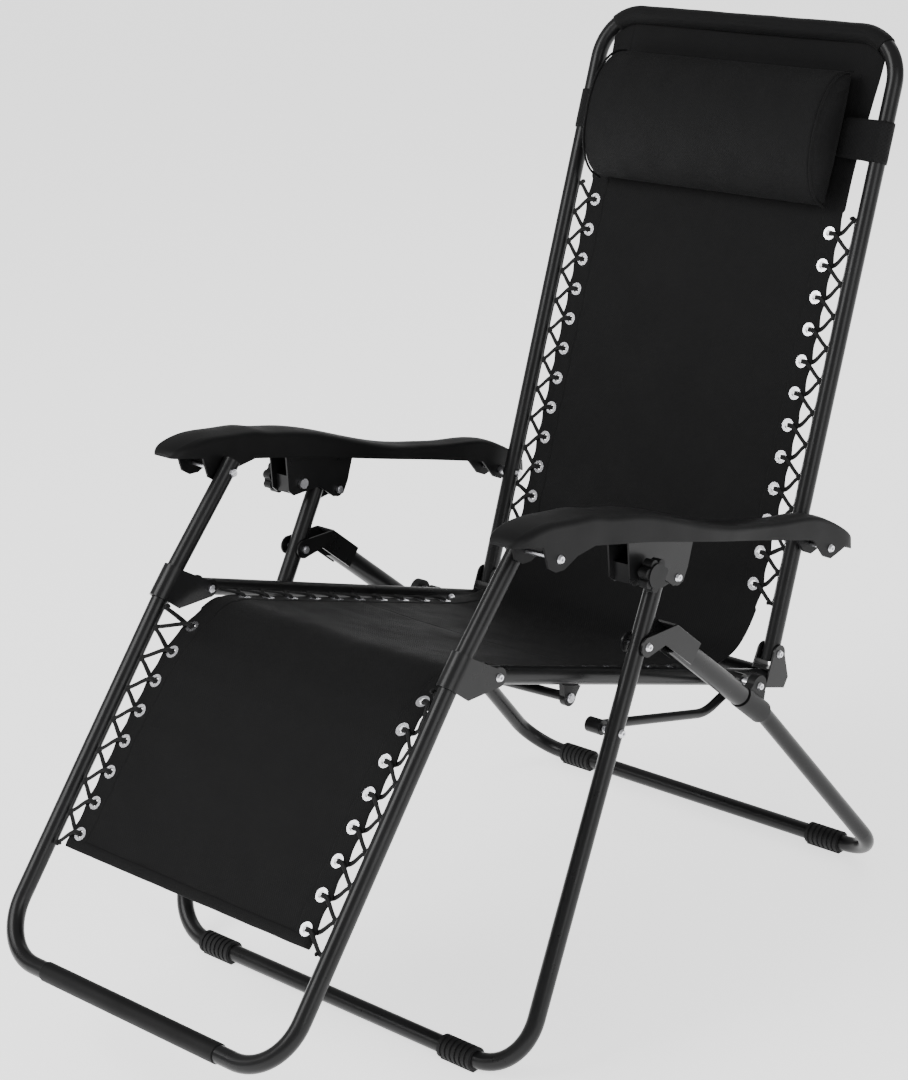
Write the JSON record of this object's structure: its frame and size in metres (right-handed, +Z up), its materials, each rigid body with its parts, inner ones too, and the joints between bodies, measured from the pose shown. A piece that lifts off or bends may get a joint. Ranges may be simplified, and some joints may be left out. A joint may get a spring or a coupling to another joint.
{
  "type": "zero gravity recliner",
  "caption": "Folding lounge recliner on scissor tube legs, with a laced textile sling, linked back and leg rest, padded head pillow and armrests with lock knobs.",
  "frame": {"origin": "centre of the bounding box at floor level", "axes": "+Z up, +X the sitter's left side, -Y the front that the sitter faces"},
  "size_m": [0.666, 1.2412, 1.1191],
  "materials": {
    "frame_coat": "satin black powder coat over steel tube",
    "black_plastic": "fine-grained moulded black plastic",
    "arm_plastic": "fine-grained moulded charcoal plastic with a soft sheen",
    "foot_rubber": "ribbed black rubber",
    "bar_cover": "matt black sleeve",
    "zinc_steel": "bright zinc plated steel",
    "eyelet_metal": "bright rolled eyelets",
    "sling_fabric": "plain woven black textile",
    "cord": "braided black elastic cord",
    "pillow_fabric": "padded woven black textile",
    "strap_web": "black elastic webbing"
  },
  "bodies": {
    "legs": {"rear_leg_frame": "frame_coat", "rear_feet": "foot_rubber", "leg_collar_left": "black_plastic", "leg_collar_right": "black_plastic", "leg_sleeve_left": "frame_coat", "leg_sleeve_right": "frame_coat", "fork_bracket_left": "frame_coat", "fork_bracket_right": "frame_coat", "leg_pivot_fasteners": "zinc_steel", "front_leg_frame": "frame_coat", "front_feet": "foot_rubber", "leg_top_plugs": "black_plastic", "link_front_fasteners": "zinc_steel", "seat_pivot_fasteners": "zinc_steel", "link_rod_left": "frame_coat", "link_rod_right": "frame_coat"},
    "seat": {"seat_frame": "frame_coat", "seat_rear_bracket_left": "frame_coat", "seat_rear_bracket_right": "frame_coat", "seat_brace": "frame_coat", "seat_brace_screws": "zinc_steel", "sling_seat": "sling_fabric", "seat_grommets": "eyelet_metal", "lace_seat_left": "cord", "lace_seat_right": "cord", "back_pivot_fasteners": "zinc_steel", "foot_pivot_fasteners": "zinc_steel"},
    "back": {"back_frame": "frame_coat", "sling_back": "sling_fabric", "back_grommets": "eyelet_metal", "lace_back_left": "cord", "lace_back_right": "cord", "arm_rear_bolt_left": "zinc_steel", "arm_rear_bolt_right": "zinc_steel"},
    "pillow": {"pillow": "pillow_fabric", "pillow_straps": "strap_web"},
    "leg_rest": {"foot_frame": "frame_coat", "foot_bracket_left": "frame_coat", "foot_bracket_right": "frame_coat", "foot_bar_cover": "bar_cover", "sling_leg": "sling_fabric", "leg_grommets": "eyelet_metal", "lace_leg_left": "cord", "lace_leg_right": "cord"},
    "arm_left": {"armrest_left": "arm_plastic", "arm_front_bolt_left": "zinc_steel"},
    "slider_left": {"arm_slider_left": "frame_coat", "knob_stud_left": "zinc_steel", "slider_pivot_bolt_left": "zinc_steel"},
    "knob_left": {"lock_knob_left": "black_plastic"},
    "arm_right": {"armrest_right": "arm_plastic", "arm_front_bolt_right": "zinc_steel"},
    "slider_right": {"arm_slider_right": "frame_coat", "knob_stud_right": "zinc_steel", "slider_pivot_bolt_right": "zinc_steel"},
    "knob_right": {"lock_knob_right": "black_plastic"}
  },
  "joints": [
    {"name": "seat_tilt", "type": "hinge", "parent": "legs", "child": "seat", "pos_m": [0, 0.207, 0.3473], "axis": [1, 0, 0], "range_deg": [-10.9, 0]},
    {"name": "recline", "type": "hinge", "parent": "seat", "child": "back", "pos_m": [0, 0.302, 0.35], "axis": [-1, 0, 0], "range_deg": [0, 40]},
    {"name": "leg_rest_lift", "type": "hinge", "parent": "seat", "child": "leg_rest", "pos_m": [0, -0.23, 0.5], "axis": [-1, 0, 0], "range_deg": [0, 40]},
    {"name": "arm_recline_left", "type": "hinge", "parent": "back", "child": "arm_left", "pos_m": [0, 0.35819, 0.48908], "axis": [1, 0, 0], "range_deg": [0, 40]},
    {"name": "slider_tilt_left", "type": "hinge", "parent": "legs", "child": "slider_left", "pos_m": [0, 0.043, 0.548], "axis": [1, 0, 0], "range_deg": [-10.9, 0]},
    {"name": "knob_turn_left", "type": "hinge", "parent": "slider_left", "child": "knob_left", "pos_m": [0.325, -0.022, 0.575], "axis": [1, 0, 0], "continuous": true},
    {"name": "arm_recline_right", "type": "hinge", "parent": "back", "child": "arm_right", "pos_m": [0, 0.35819, 0.48908], "axis": [1, 0, 0], "range_deg": [0, 40]},
    {"name": "slider_tilt_right", "type": "hinge", "parent": "legs", "child": "slider_right", "pos_m": [0, 0.043, 0.548], "axis": [1, 0, 0], "range_deg": [-10.9, 0]},
    {"name": "knob_turn_right", "type": "hinge", "parent": "slider_right", "child": "knob_right", "pos_m": [-0.325, -0.022, 0.575], "axis": [-1, 0, 0], "continuous": true},
    {"name": "pillow_slide", "type": "slide", "parent": "back", "child": "pillow", "axis": [0, 0.3746, 0.9272], "range_m": [-0.25, 0.03]}
  ],
  "couplings": [
    {"joint": "seat_tilt", "follows": "recline", "ratio": -0.27},
    {"joint": "leg_rest_lift", "follows": "recline", "ratio": 1},
    {"joint": "arm_recline_left", "follows": "recline", "ratio": 1},
    {"joint": "slider_tilt_left", "follows": "recline", "ratio": -0.27},
    {"joint": "arm_recline_right", "follows": "recline", "ratio": 1},
    {"joint": "slider_tilt_right", "follows": "recline", "ratio": -0.27}
  ]
}
